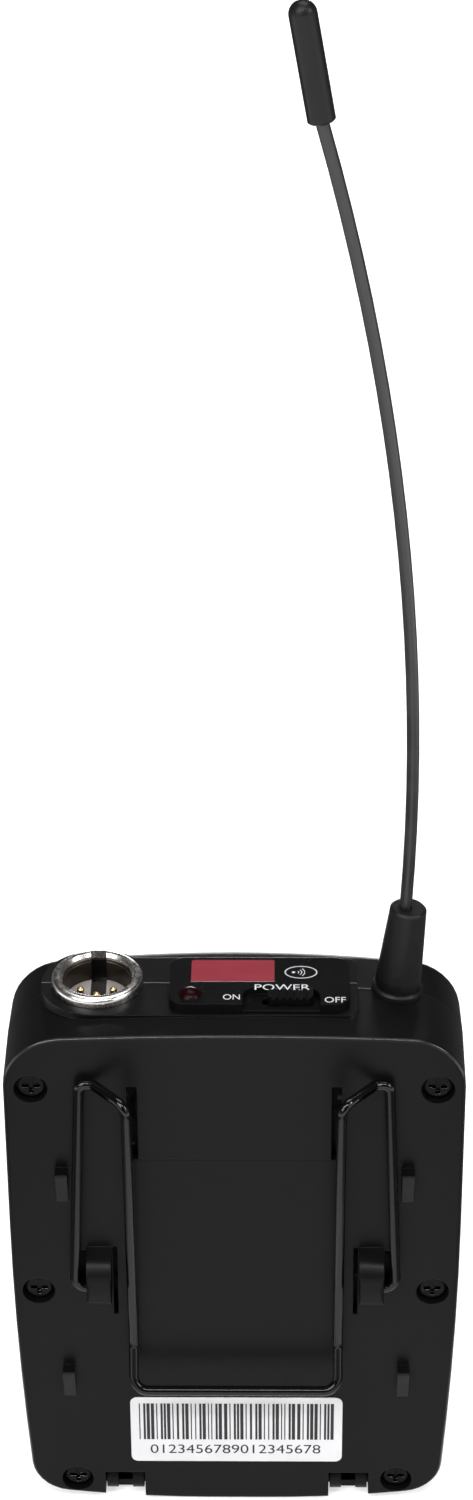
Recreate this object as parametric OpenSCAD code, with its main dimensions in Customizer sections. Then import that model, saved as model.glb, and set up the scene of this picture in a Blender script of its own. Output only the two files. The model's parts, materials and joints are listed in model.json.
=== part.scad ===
// Wireless bodypack transmitter: two-part moulded case, hinged battery door, wire belt clip,
// small round microphone socket, control plate with sliding switch, and a bent whip antenna.
// Millimetres. +Z is up, +X is to the right seen from the clip side, and the clip faces -Y.
// The origin is the middle of the flat on the underside, half way through the case.

/* [Case] */
// Width of the case where it is widest
body_w = 62; // [60:0.5:68]
// Height of the case above the battery door
head_h = 20.7; // [20:0.1:22]
// Depth of the case from back face to front face
body_d = 21; // [21:0.2:26]
// Where the two shells meet, measured from the middle of the depth
parting_y = 1.5; // [0.5:0.1:2.5]
// Wall of both shells
wall = 1.6; // [1.2:0.1:2]
// Radius of the top corners
top_corner_r = 8; // [6:0.5:10]
// Radius of the bottom corners
bottom_corner_r = 6; // [5:0.5:8]
// Radius of the crowned top at the front
crown_r = 200; // [150:10:400]
// Radius of the crowned top at the back edge
back_crown_r = 530; // [300:10:900]
// Radius of the gently bowed underside
belly_r = 160; // [120:10:300]
// Half width of the flat in the middle of the underside
foot_half = 4; // [3:0.5:8]
// Radius of the bowed lower sides
side_r = 620; // [400:20:1200]
// Height at which the sides start to draw in
widest_z = 50.4; // [40:1:60]
// Draft of the rear shell, from parting line to back face
back_draft = 0.2; // [0.1:0.05:0.5]
// Rounding of the back edge
back_edge_r = 0.45; // [0.3:0.05:0.8]
// Rounding of the front edge
front_edge_r = 2; // [1.6:0.1:3]

/* [Battery door] */
// Thickness of the door's front skin
door_skin = 1.3; // [1:0.1:1.5]
// Depth of the door's front panel with its rim
door_rim = 4.4; // [4:0.1:5]
// Distance of the door's bottom wall from the sides
door_foot_in = 10.6; // [10:0.1:11]
// Thickness of the door's bottom wall
door_foot_t = 1.8; // [1.5:0.1:2.2]
// Gap round the door
door_gap = 0.15; // [0.12:0.01:0.25]
// Distance of the hinge axis from the back face
hinge_in = 2.2; // [2.1:0.05:2.4]
// Height of the hinge axis
hinge_z = 3; // [2.9:0.05:3.3]
// Radius of the hinge's stub pins
hinge_pin_r = 1.2; // [1:0.05:1.3]
// Radius of the round joint between door and shell
hinge_sweep_r = 4; // [3.9:0.05:4.2]
// Distance of a hinge notch's inner side from the side of the case
notch_far = 17.85; // [17.5:0.05:18.2]
// Width of a hinge notch
notch_w = 5.7; // [5.5:0.1:6.2]
// Height of a hinge notch
notch_h = 5.2; // [5.15:0.05:6]
// Thickness of one hinge prong
prong_t = 1.6; // [1.3:0.1:1.8]

/* [Belt clip] */
// Diameter of the clip wire
wire_d = 1.4; // [1.2:0.05:1.6]
// Distance of the outer legs from the sides of the case, at the top
clip_in_top = 10.4; // [9.5:0.1:11]
// Distance of the outer legs from the sides of the case, at the lugs
clip_in_low = 9; // [8.5:0.1:9.5]
// Distance of the inner legs from the sides of the case
clip_in_mid = 16.8; // [16:0.1:17.5]
// Distance of the clip's top bends below the crown
clip_drop = 7.3; // [6:0.1:9]
// Height of the kink in the inner legs
clip_kink_z = 30.3; // [28:0.1:34]
// Height of the clip's lower cross bar
clip_low_z = 24.2; // [22:0.1:26]
// Height of the clip's ends in their lugs
clip_end_z = 41.6; // [41:0.1:42.5]
// How far the inner legs stand off the back face at the top
clip_off_top = 6; // [5.5:0.1:7]
// How far the lower cross bar stands off the back face
clip_off_low = 4; // [3:0.1:5]
// How far the wire's ends stand off the back face
clip_off_end = 2.6; // [2.4:0.05:2.8]
// How far the pivot stretch stands off the back face
clip_off_pivot = 1; // [0.9:0.05:1.3]
// How far the kink stands off the back face
clip_off_kink = 1; // [0.9:0.05:1.3]
// Gap where the fixed and the swinging wire are parted
clip_part_gap = 0.1; // [0.05:0.01:0.2]

/* [Rear details] */
// Distance of a clip lug's inner side from the side of the case
lug_far = 14.05; // [13.8:0.05:14.5]
// Width of a clip lug
lug_w = 3.4; // [3:0.1:3.6]
// Height of a clip lug above the back face
lug_h = 4.2; // [4:0.1:4.6]
// Length of a clip lug
lug_len = 7.3; // [6.5:0.1:8]
// Distance of the upper and middle screws from the sides
screw_in = 3.8; // [3.6:0.05:4.2]
// Distance of the bottom screws from the sides
screw_low_in = 8.2; // [7.6:0.1:8.4]
// Distance of the top screws below the crown
screw_drop = 8.8; // [8:0.1:12]
// Height of the middle screws
screw_mid_z = 38.8; // [34:0.1:44]
// Height of the bottom screws
screw_low_z = 4; // [3.9:0.05:4.4]
// Diameter of a screw's counterbore
cbore_d = 4.5; // [4.2:0.05:4.8]
// Depth of a screw's counterbore
cbore_deep = 1.9; // [1.6:0.1:2.2]
// Diameter of a screw head
head_d = 3.4; // [3.2:0.05:3.8]
// Distance of an upright slot's inner side from the side of the case
slot_far = 18; // [17.6:0.1:18.4]
// Width of the upright slots
slot_w = 1.35; // [1:0.05:1.5]
// Distance of the slots' lower ends below the crown
slot_drop = 20.9; // [20:0.1:22]
// Length of the upright slots
slot_len = 12.5; // [10:0.1:13]
// Label width
label_w = 30; // [26:0.5:32]
// Label height
label_h = 11.9; // [10:0.1:12.5]
// Lower edge of the label
label_z = 7.5; // [7:0.1:9]

/* [Top] */
// Height of the level pad above the crown
pad_rise = 0.1; // [0.05:0.05:0.4]
// Half depth of the pad
pad_half = 7.6; // [7.3:0.1:7.8]
// Distance of the pad's right end from the side
pad_in = 14.5; // [14:0.1:14.8]
// Distance of the microphone socket from the side
socket_in = 12.5; // [12:0.1:13]
// Outer diameter of the socket's rim
rim_d = 12.35; // [12:0.05:12.6]
// Radius of the socket's mouth
mouth_r = 4.65; // [4.6:0.05:4.8]
// Radius of the socket's bore round the insert
socket_bore_r = 4.35; // [4.2:0.05:4.4]
// Outer radius of the socket's barrel
barrel_r = 5.4; // [5.2:0.05:5.5]
// How far the rim stands above the pad
rim_h = 1.4; // [1.2:0.1:1.8]
// Depth of the insert below the rim's top
insert_deep = 3.9; // [3.5:0.1:5]
// Height of the contact pins above the insert
pin_h = 2.8; // [2:0.1:2.8]
// Diameter of a contact pin
pin_d = 1; // [0.8:0.05:1.1]
// Width of the keyway
key_w = 2.1; // [1.8:0.1:2.4]
// Left end of the control plate
plate_left = 8.7; // [8.4:0.1:9]
// Distance of the control plate's right end from the side
plate_in = 15.6; // [15.4:0.1:16]
// Near side of the control plate, behind the middle of the depth
plate_near = 5.6; // [5.4:0.05:5.8]
// Far side of the control plate, before the middle of the depth
plate_far = 5.3; // [5.1:0.05:5.5]
// Thickness of the control plate
plate_t = 1.5; // [1.3:0.05:1.8]
// Corner radius of the control plate
plate_r = 2; // [1:0.1:2.5]
// Travel of the power switch
switch_travel = 2.5; // [1.5:0.1:2.8]
// Length of the switch knob
knob_l = 6.1; // [5.5:0.1:6.3]
// Width of the switch knob
knob_w = 2.1; // [1.8:0.05:2.3]

/* [Antenna] */
// Distance of the antenna from the side, at the top of the case
antenna_in = 9.2; // [9:0.1:9.6]
// Radius of the whip's bow
whip_bow_r = 336; // [250:2:600]
// Height above the crown at which the whip stands upright
whip_crest_up = 30.8; // [25:0.2:38]
// Diameter of the whip
whip_d = 1.65; // [1.4:0.05:1.9]
// Height above the crown at which the whip enters its cap
whip_up = 121.5; // [80:0.1:140]
// Diameter of the cap on the whip's end
tip_d = 3.4; // [3:0.1:4.2]
// Length of the cap
tip_len = 14.7; // [10:0.1:18]
// Lean of the cap, less than the whip's own at its end
tip_lean = 10; // [8:0.5:14]
// Radius of the rubber boot at its foot
boot_r = 3.1; // [2.8:0.05:3.3]
// Radius of the rubber boot at its top
boot_top_r = 2.45; // [2:0.05:2.6]
// Length of the rubber boot
boot_len = 13.4; // [10:0.1:14]
// Lean of the rubber boot
boot_lean = 5.6; // [4:0.2:8]

/* [Inside] */
// Diameter of one battery cell
cell_d = 14.2; // [13.8:0.1:14.3]
// Length of one battery cell with its button
cell_len = 50.2; // [49.2:0.1:50.8]
// Length of a battery spring under load
spring_len = 2.75; // [2.6:0.05:3.2]
// Thickness of the printed boards
board_t = 1; // [0.8:0.1:1.2]

/* [Hidden] */

$fn = 48;
eps = 0.02;
fit = 0.05;        // clearance of a close fit, each side
seat = 0.3;        // clearance of a piece that lies in a pocket

back_y = -body_d / 2;
front_y = body_d / 2;
half_w = body_w / 2;

// The battery room sets the height: tray with contacts, springs and cells, then the head above the door
end_t = 1;
contact_t = 0.4;
tray_z0 = notch_h + 0.4;
tray_z1 = tray_z0 + 2 * end_t + 2 * contact_t + spring_len + cell_len;
ceiling_z = tray_z1 + seat;                  // underside of the front shell's upper part
door_top = ceiling_z - door_gap;
body_h = door_top + head_h;

front_draft = 0.15;
inner_back = back_y + wall;                  // inner face of the back wall
rear_cave = wall + back_draft;               // inset of the rear shell's hollow
front_cave = wall + 0.6;                     // inset of the front shell's hollow
front_inner = front_y - wall;                // inner face of the front wall

// Corner circles, each touching its two neighbours from inside
belly_c = [foot_half, belly_r];
side_c = [half_w - side_r, widest_z];
low_c = meet(belly_c, belly_r - bottom_corner_r, side_c, side_r - bottom_corner_r);

// Door and hinge
door_y = front_y - door_rim;                 // rear face of the door's rim
rail_y = door_y - door_gap;                  // front face of the shell's side rails
door_foot_half = half_w - door_foot_in;
notch_in = half_w - notch_far;
rail_in = door_foot_half + door_gap;         // inner face of the side rails at the foot
hinge_y = back_y + hinge_in;
notch_mid = notch_in + notch_w / 2;
prong_side = notch_w / 2 - 0.2;              // outer face of a prong from the notch's middle
stub_len = 1.1;
hinge_boss_r = 1.95;

// Clip
function off(s) = back_y - s;
clip_outer_top = half_w - clip_in_top;
clip_outer_low = half_w - clip_in_low;
clip_inner = half_w - clip_in_mid;
clip_top_z = body_h - clip_drop;
lug_in = half_w - lug_far;
slot_in = half_w - slot_far;
slot_z = body_h - slot_drop;
pivot_x = clip_outer_top - 1.3;              // end of the fixed wire
bend_x = pivot_x - 0.55;                     // corner where the loop leaves the pivot stretch
lug_out = lug_in + lug_w;
lug_top = clip_end_z + 5;
lug_foot = lug_top - lug_len;
wire_seat = 0.45;                            // wire's end before the lug's inner side

// Screws
screw_x = half_w - screw_in;
screw_places = [[screw_x - 0.1, body_h - screw_drop], [screw_x, screw_mid_z], [half_w - screw_low_in, screw_low_z]];
shank_r = 0.9;
pilot_r = shank_r + fit;
shank_hole_r = shank_r + 0.2;
sleeve_r = cbore_d / 2 + 0.8;
post_r = 2.2;
screw_len = 12.5;
head_t = 1.1;
floor_y = back_y + cbore_deep;               // floor of the counterbores

// Top
pad_z = body_h + pad_rise;
pad_right = half_w - pad_in;
plate_right = half_w - plate_in;
sock_c = [socket_in - half_w, parting_y];
rim_z = pad_z + rim_h;
insert_z = rim_z - insert_deep;
insert_t = 6;
barrel_len = 13;
mouth_deep = 0.6;
pin_circle = 2.7;
pin_turns = [-145, -90, -35];
nut_top_z = body_h - 4;
nut_t = 2;
nut_r = 6.4;
plate_z = pad_z + plate_t;
window_x0 = -5.9;
window_x1 = 5.4;
window_y0 = -0.4;
window_y1 = 4.8;
led_at = [-5.9, -3.2];
led_r = 1.5;
dish_x0 = 1.1;
dish_x1 = 11.4;
dish_y1 = -1.7;
dish_deep = 1.1;
dish_z = plate_z - dish_deep;
knob_y = -3.45;
knob_x = dish_x1 - 0.9 - knob_l / 2;         // knob's middle at rest, switched off
stem_l = 2;
stem_w = 1;
hatch = [-7.7, 13.9, -4.95, 4.3];             // opening in the shells under the plate
board_x0 = sock_c[0] + 9;
board_top_z = pad_z - 5.4;                   // upper face of the top board

// Antenna: the whip is an arc in the plane of the parting line
terminal_r = 1.5;
boot_seat = 0.2;                             // the boot leans a little off square to the crown
antenna_x = half_w - antenna_in;
whip_crest_z = body_h + whip_crest_up;
whip_top_z = body_h + whip_up;
boot_z = body_h - crown_r * (1 - cos(asin(antenna_x / crown_r))) + boot_seat;
whip_foot_a = asin((body_h - whip_crest_z) / whip_bow_r);
whip_c = [antenna_x - whip_bow_r * cos(whip_foot_a), whip_crest_z];
whip_start_a = asin((boot_z + 2.5 - whip_crest_z) / whip_bow_r);
whip_end_a = asin((whip_top_z - whip_crest_z) / whip_bow_r);
boot_bore_r = whip_d / 2 + fit;
tip_bore_deep = 4;

// Inside
cell_x = cell_d / 2 + 0.5;
cell_y = front_y - door_skin - cell_d / 2 - 0.2;
tray_wall = 0.75;
cell_gap = 0.25;
tray_y0 = cell_y - cell_d / 2 - cell_gap - tray_wall;
tray_y1 = cell_y - 0.4;
tray_half = half_w - 9.6;
board_y0 = inner_back + 0.7;                 // rear face of the main board
board_y1 = board_y0 + board_t;
board_half = half_w - 9.4;
chip_x = 2.5;
chip_w = 7;
board_z0 = 9;
board_z1 = body_h - 4.7;
board_holes = [for (x = [3 - board_half, board_half - 3], z = [board_z0 + 5, board_z1 - 11.5]) [x, z]];

// ---------- shapes that are used again ----------

function meet(a, ra, b, rb) =
    let (d = norm(b - a), u = (b - a) / d, x = (ra * ra - rb * rb + d * d) / (2 * d))
    a + x * u + sqrt(ra * ra - x * x) * [-u[1], u[0]];

// Points of an arc in n steps; its last point only with ends = 1, for a neighbour that starts elsewhere
function arc(c, r, a0, a1, n, ends = 0) =
    [for (i = [0:n - 1 + ends]) let (a = a0 + (a1 - a0) * i / n) c + r * [cos(a), sin(a)]];

function angle_of(p) = atan2(p[1], p[0]);

// Right half of the case's outline, drawn in by inset, from the foot to the crown
function half_outline(inset, crown) =
    let (
        crown_c = [0, body_h - crown],
        high_x = half_w - top_corner_r,
        reach = crown - top_corner_r,
        high_c = [high_x, crown_c[1] + sqrt(reach * reach - high_x * high_x)],
        a1 = angle_of(low_c - belly_c),
        a2 = angle_of(low_c - side_c),
        a3 = angle_of(high_c - crown_c)
    )
    concat(
        arc(belly_c, belly_r - inset, -90, a1, 5),
        arc(low_c, bottom_corner_r - inset, a1, a2, 7),
        arc(side_c, side_r - inset, a2, 0, 5, 1),
        arc(high_c, top_corner_r - inset, 0, a3, 9),
        arc(crown_c, crown - inset, a3, 90, 8),
        [[0, body_h - inset]]
    );

function outline(inset, crown) =
    let (h = half_outline(inset, crown))
    concat(h, [for (i = [len(h) - 2:-1:0]) [-h[i][0], h[i][1]]]);

// Solid through outlines of equal count, each at its own depth: rings are [y, points]
module loft(rings) {
    n = len(rings[0][1]);
    last = (len(rings) - 1) * n;
    polyhedron(
        points = [for (r = rings) for (p = r[1]) [p[0], r[0], p[1]]],
        faces = concat(
            [[for (i = [n - 1:-1:0]) i]],
            [[for (i = [0:n - 1]) last + i]],
            [for (k = [0:len(rings) - 2]) for (i = [0:n - 1])
                [k * n + i, k * n + (i + 1) % n, (k + 1) * n + (i + 1) % n, (k + 1) * n + i]]
        )
    );
}

module along_y(y0, y1) {
    translate([0, y1, 0]) rotate([90, 0, 0]) linear_extrude(y1 - y0) children();
}

module along_x(x0, x1) {
    translate([x0, 0, 0]) rotate([90, 0, 90]) linear_extrude(x1 - x0) children();
}

module rod_y(x, z, r, y0, y1) {
    translate([x, y1, z]) rotate([90, 0, 0]) cylinder(r = r, h = y1 - y0);
}

module rod_x(y, z, r, x0, x1) {
    translate([x0, y, z]) rotate([0, 90, 0]) cylinder(r = r, h = x1 - x0);
}

module block(x0, x1, y0, y1, z0, z1) {
    translate([x0, y0, z0]) cube([x1 - x0, y1 - y0, z1 - z0]);
}

module pair() {
    children();
    mirror([1, 0, 0]) children();
}

// Rectangle with four round corners, as one polygon
function rounded(x0, x1, y0, y1, r, n = 6) = concat(
    arc([x1 - r, y0 + r], r, -90, 0, n, 1), arc([x1 - r, y1 - r], r, 0, 90, n, 1),
    arc([x0 + r, y1 - r], r, 90, 180, n, 1), arc([x0 + r, y0 + r], r, 180, 270, n, 1)
);

module at_screws() {
    pair() for (p = screw_places) translate([p[0], 0, p[1]]) children();
}

// ---------- bent wire ----------

function unit(v) = v / norm(v);

// Arc of radius r that rounds the corner b between a and c
function bend(a, b, c, r, n) =
    let (
        u = unit(a - b),
        w = unit(c - b),
        half = acos(u * w) / 2,
        mid = b + unit(u + w) * r / sin(half),
        from = (b + u * r / tan(half) - mid) / r,
        to = (b + w * r / tan(half) - mid) / r,
        turn = 180 - 2 * half
    )
    [for (i = [0:n]) mid + r * (sin(turn * (1 - i / n)) * from + sin(turn * i / n) * to) / sin(turn)];

function route(p, radii, n) = concat(
    [p[0]],
    [for (i = [1:len(p) - 2]) each bend(p[i - 1], p[i], p[i + 1], radii[i - 1], n)],
    [p[len(p) - 1]]
);

function heading(p, i) = unit(p[min(i + 1, len(p) - 1)] - p[max(i - 1, 0)]);

// Tube of radius r along the points p, its section carried along without twist
module tube(p, r, sides, start) {
    frames = [
        for (i = 0, t = heading(p, 0), n = unit(start - (start * t) * t); i < len(p);
            i = i + 1, t = heading(p, min(i, len(p) - 1)), n = unit(n - (n * t) * t)) [t, n]
    ];
    last = (len(p) - 1) * sides;
    polyhedron(
        points = [for (i = [0:len(p) - 1]) for (j = [0:sides - 1])
            let (t = frames[i][0], n = frames[i][1], a = 360 * j / sides)
            p[i] + r * (cos(a) * n + sin(a) * cross(t, n))],
        faces = concat(
            [[for (j = [0:sides - 1]) j]],
            [[for (j = [sides - 1:-1:0]) last + j]],
            [for (k = [0:len(p) - 2]) for (j = [0:sides - 1])
                [k * sides + j, (k + 1) * sides + j,
                 (k + 1) * sides + (j + 1) % sides, k * sides + (j + 1) % sides]]
        )
    );
}

// Fixed wire on the right: out of the lug, up the case and into the pivot stretch
arm_route = route([
    [lug_in + wire_seat, off(clip_off_end), clip_end_z],
    [clip_outer_low, off(clip_off_end), clip_end_z],
    [clip_outer_top, off(clip_off_pivot), clip_top_z],
    [pivot_x, off(clip_off_pivot), clip_top_z]
], [1.8, 0.8], 6);

// Right half of the swinging loop, and the whole loop
loop_half = [
    [pivot_x - clip_part_gap, off(clip_off_pivot), clip_top_z],
    [bend_x, off(clip_off_pivot), clip_top_z],
    [clip_inner, off(clip_off_top), clip_top_z],
    [clip_inner, off(clip_off_kink), clip_kink_z],
    [clip_inner, off(clip_off_low), clip_low_z]
];
loop_radii = [0.6, 1.6, 2.5, 2];
loop_route = route(
    concat(loop_half, [for (i = [len(loop_half) - 1:-1:0]) [-loop_half[i][0], loop_half[i][1], loop_half[i][2]]]),
    concat(loop_radii, [for (i = [len(loop_radii) - 1:-1:0]) loop_radii[i]]), 6
);

// ---------- case ----------

module rear_form() {
    n = 4;
    edge = [for (k = [0:n]) let (t = 90 * k / n)
        [back_y + back_edge_r * (1 - cos(t)), back_draft + back_edge_r * (1 - sin(t))]];
    loft(concat(
        [for (e = edge) [e[0], outline(e[1], back_crown_r)]],
        [[parting_y, outline(0, crown_r)]]
    ));
}

module front_form(y0) {
    n = 6;
    edge = [for (k = [0:n]) let (t = 90 * k / n)
        [front_y - front_edge_r * (1 - sin(t)), front_draft + front_edge_r * (1 - cos(t))]];
    share = (y0 - parting_y) / (front_y - front_edge_r - parting_y);
    loft(concat(
        [[y0, outline(front_draft * share, crown_r)]],
        [for (e = edge) [e[0], outline(e[1], crown_r)]]
    ));
}

// Level pad with a round end that follows the socket, cut to one shell's depth
module pad(y0, y1) {
    round_r = 1.7;
    far = parting_y + 5.9;
    intersection() {
        translate([0, 0, pad_z - 2.8]) linear_extrude(2.8) union() {
            translate(sock_c) circle(r = pad_half);
            polygon(rounded(sock_c[0], pad_right, parting_y - pad_half, far, round_r));
        }
        block(-half_w, half_w, y0, y1, pad_z - 2.8, pad_z);
    }
}

// Ring under the top wall, which the socket's nut draws up to
module socket_boss(y0, y1) {
    intersection() {
        translate([sock_c[0], sock_c[1], nut_top_z]) cylinder(r = nut_r + 0.2, h = body_h - 1.4 - nut_top_z);
        block(-half_w, half_w, y0, y1, 0, body_h);
    }
}

// What the top of both shells leaves open for socket, antenna and the plate's works
module top_openings() {
    translate([sock_c[0], sock_c[1], body_h - 8]) cylinder(r = barrel_r + fit, h = 12);
    translate([antenna_x, parting_y, body_h - 8]) cylinder(r = terminal_r + fit, h = 12);
    block(hatch[0], hatch[1], hatch[2], hatch[3], body_h - 4, pad_z + 1);
}

// Everything that the battery door's foot sweeps, clear of the round joint at the hinge
module foot_room() {
    difference() {
        block(-rail_in, rail_in, hinge_y, parting_y + 20, -2, door_foot_t + 0.6);
        rod_x(hinge_y, hinge_z, hinge_sweep_r, -rail_in - 1, rail_in + 1);
    }
}

module hinge_notches() {
    pair() block(notch_in, notch_in + notch_w, back_y - 1, door_y, -2, notch_h);
}

module hinge_bosses() {
    boss_w = 1.7;
    pair() {
        for (x = [notch_in - boss_w, notch_in + notch_w]) {
            block(x, x + boss_w, inner_back - eps, hinge_y, 1, notch_h);
            rod_x(hinge_y, hinge_z, hinge_boss_r, x, x + boss_w);
        }
    }
}

module hinge_bores() {
    x0 = notch_in - stub_len - 0.2;
    x1 = notch_in + notch_w + stub_len + 0.2;
    pair() rod_x(hinge_y, hinge_z, hinge_pin_r + fit, x0, x1);
}

// Lug that holds one end of the clip wire: an arched back and a square, chamfered foot
module lug() {
    crest = lug_h * 0.97;
    profile = concat(
        [[back_y + 0.5, lug_foot], [back_y - crest + 0.6, lug_foot], [back_y - crest, lug_foot + 0.9]],
        [for (k = [0:8]) let (t = k / 8, z = lug_foot + 2.4 + (lug_len - 2.4) * t)
            [back_y - lug_h * sqrt(1 - pow(t, 2.2)), z]],
        [[back_y + 0.5, lug_top]]
    );
    edge_r = 0.7;
    intersection() {
        along_x(lug_in, lug_out) polygon(profile);
        translate([0, 0, lug_foot - 1]) linear_extrude(lug_len + 2)
            polygon(rounded(lug_in, lug_out, back_y - lug_h, back_y + 2, edge_r, 5));
    }
}

// Wedge rib: square and proud at its top, running out to the face at its foot
module wedge(z_top) {
    rib_w = 1.7;
    rib_x = half_w - 7.6;
    rib_h = 1.8;
    rib_len = 5.8;
    along_x(rib_x - rib_w / 2, rib_x + rib_w / 2)
        polygon([[back_y + 0.4, z_top], [back_y - rib_h, z_top], [back_y - rib_h, z_top - 0.5],
                 [back_y, z_top - rib_len], [back_y + 0.4, z_top - rib_len]]);
}

module rear_shell() {
    ramp_half = slot_in + slot_w / 2;
    ramp_deep = 0.45;
    ramp_len = 22;
    color([0.13, 0.13, 0.14]) difference() {
        union() {
            difference() {
                union() {
                    rear_form();
                    pad(back_y + 1, parting_y);
                }
                along_y(inner_back, parting_y + 1) polygon(outline(rear_cave, back_crown_r));
            }
            hinge_bosses();
            intersection() {
                at_screws() rod_y(0, 0, sleeve_r, back_y + 1, parting_y);
                along_y(back_y, parting_y) polygon(outline(back_draft + 0.3, back_crown_r));
            }
            socket_boss(back_y + 1, parting_y);
            pair() {
                lug();
                wedge(slot_z - 1);
                wedge(25.5);
            }
            for (h = board_holes) rod_y(h[0], h[1], 1.7, inner_back - eps, board_y0);
        }
        foot_room();
        hinge_notches();
        hinge_bores();
        top_openings();
        at_screws() {
            rod_y(0, 0, cbore_d / 2, back_y - 1, floor_y);
            rod_y(0, 0, shank_hole_r, back_y, parting_y + 1);
        }
        pair() {
            block(slot_in, slot_in + slot_w, back_y - 1, inner_back + 1, slot_z, slot_z + slot_len);
            block(lug_in - 0.7, lug_in - 0.1, back_y - 1, inner_back + 1, 34.7, lug_top);
            block(lug_out + 0.1, clip_outer_low, back_y - 1, inner_back + 1, lug_foot + 0.4, lug_top - 0.6);
            rod_x(off(clip_off_end), clip_end_z, wire_d / 2 + fit, lug_in + wire_seat - 0.1, lug_out + 1);
        }
        for (h = board_holes) rod_y(h[0], h[1], 0.65, inner_back - 0.6, board_y0 + 1);
        // ramp of the shallow recess between the clip's legs
        along_x(-ramp_half, ramp_half) polygon([[back_y - 1, slot_z + ramp_deep], [back_y + ramp_deep, slot_z + ramp_deep],
            [back_y, slot_z - ramp_len], [back_y - 1, slot_z - ramp_len]]);
    }
}

module front_shell() {
    shelf_t = 1.2;
    rail_web = 1.4;
    window_half = half_w - 8.4;
    rail_deep = rail_y - rail_web;
    pilot_deep = floor_y + screw_len + 0.4;
    color([0.14, 0.14, 0.15]) difference() {
        union() {
            difference() {
                union() {
                    front_form(parting_y);
                    pad(parting_y, front_y - front_edge_r);
                }
                // hollow behind the upper front, over the shelf
                intersection() {
                    along_y(parting_y - 1, front_inner) polygon(outline(front_cave, crown_r));
                    block(-half_w, half_w, parting_y - 2, front_y, ceiling_z + shelf_t, body_h);
                }
                // hollow side rails
                pair() intersection() {
                    along_y(parting_y - 1, rail_deep) polygon(outline(front_cave, crown_r));
                    block(window_half + 1.2, half_w, parting_y - 2, front_y, 0, ceiling_z);
                }
                block(-window_half, window_half, parting_y - 1, front_y + 1, 3.2, ceiling_z);
            }
            intersection() {
                at_screws() rod_y(0, 0, post_r, parting_y, rail_deep + eps);
                along_y(parting_y, front_y) polygon(outline(front_draft + 0.3, crown_r));
            }
            intersection() {
                pair() rod_y(screw_places[0][0], screw_places[0][1], post_r, parting_y, front_inner + eps);
                along_y(parting_y, front_y) polygon(outline(front_draft + 1, crown_r));
            }
            socket_boss(parting_y, parting_y + nut_r);
        }
        block(-half_w - 1, half_w + 1, rail_y, front_y + 1, -1, ceiling_z);
        block(-rail_in, rail_in, parting_y - 1, front_y + 1, -2, 4);
        top_openings();
        at_screws() rod_y(0, 0, pilot_r, parting_y - 1, pilot_deep);
    }
}

module battery_door() {
    rim_t = 2;
    catch_x = 17.2;
    catch_w = 3;
    catch_t = 1.2;
    inner_y = front_y - door_skin;
    foot_low = 0.65;
    prong_x = notch_mid - prong_side;
    prong_x2 = notch_mid + prong_side;
    color([0.14, 0.14, 0.15]) {
        difference() {
            union() {
                difference() {
                    front_form(door_y);
                    intersection() {
                        along_y(door_y - 1, inner_y) polygon(outline(rim_t, crown_r));
                        block(-half_w, half_w, door_y - 2, front_y, 0, door_top - rim_t);
                    }
                }
                intersection() {
                    along_y(hinge_y, door_y) polygon(outline(0, crown_r));
                    block(-door_foot_half, door_foot_half, hinge_y, door_y, -1, door_foot_t);
                }
                // catches that rub along the underside of the front shell's shelf
                pair() block(catch_x, catch_x + catch_w, rail_y - 2.4, inner_y + eps,
                             door_top - catch_t, door_top);
            }
            block(-half_w - 1, half_w + 1, door_y - 2, front_y + 1, door_top, body_h + 1);
            rod_x(hinge_y, hinge_z, hinge_sweep_r + 0.2, -half_w, half_w);
            // thumb grip in the front skin
            for (k = [0:3]) rod_x(front_y + 0.5, door_top - 4 - 1.6 * k, 0.9, -8 + k, 8 - k);
        }
        // two prongs each side, with the stub pins they snap in by
        pair() {
            block(prong_x, prong_x2, hinge_y, hinge_y + hinge_sweep_r + 0.9, foot_low, door_foot_t);
            for (x = [prong_x, prong_x2 - prong_t]) {
                rod_x(hinge_y, hinge_z, hinge_boss_r, x, x + prong_t);
                block(x, x + prong_t, hinge_y, hinge_y + 1.4, 1.4, hinge_z);
            }
            rod_x(hinge_y, hinge_z, hinge_pin_r, notch_in - stub_len, prong_x + 0.5);
            rod_x(hinge_y, hinge_z, hinge_pin_r, prong_x2 - 0.5, notch_in + notch_w + stub_len);
        }
    }
}

module case_screws() {
    cross_l = 2.4;
    cross_w = 0.6;
    cross_deep = 0.6;
    head_y = floor_y - head_t;
    color([0.1, 0.1, 0.11]) at_screws() difference() {
        union() {
            rod_y(0, 0, head_d / 2, head_y, floor_y);
            rod_y(0, 0, shank_r, floor_y - eps, floor_y + screw_len);
        }
        for (a = [0, 90]) rotate([0, a, 0])
            block(-cross_l / 2, cross_l / 2, head_y - 1, head_y + cross_deep, -cross_w / 2, cross_w / 2);
    }
}

module rear_label() {
    label_t = 0.15;
    color("white") along_y(back_y - label_t, back_y)
        polygon(rounded(-label_w / 2, label_w / 2, label_z, label_z + label_h, 1));
}

module belt_clip_arms() {
    color([0.05, 0.05, 0.06]) pair() tube(arm_route, wire_d / 2, 12, [0, 0, 1]);
}

module belt_clip_loop() {
    color([0.05, 0.05, 0.06]) tube(loop_route, wire_d / 2, 12, [0, 0, 1]);
}

// ---------- control plate ----------

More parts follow.
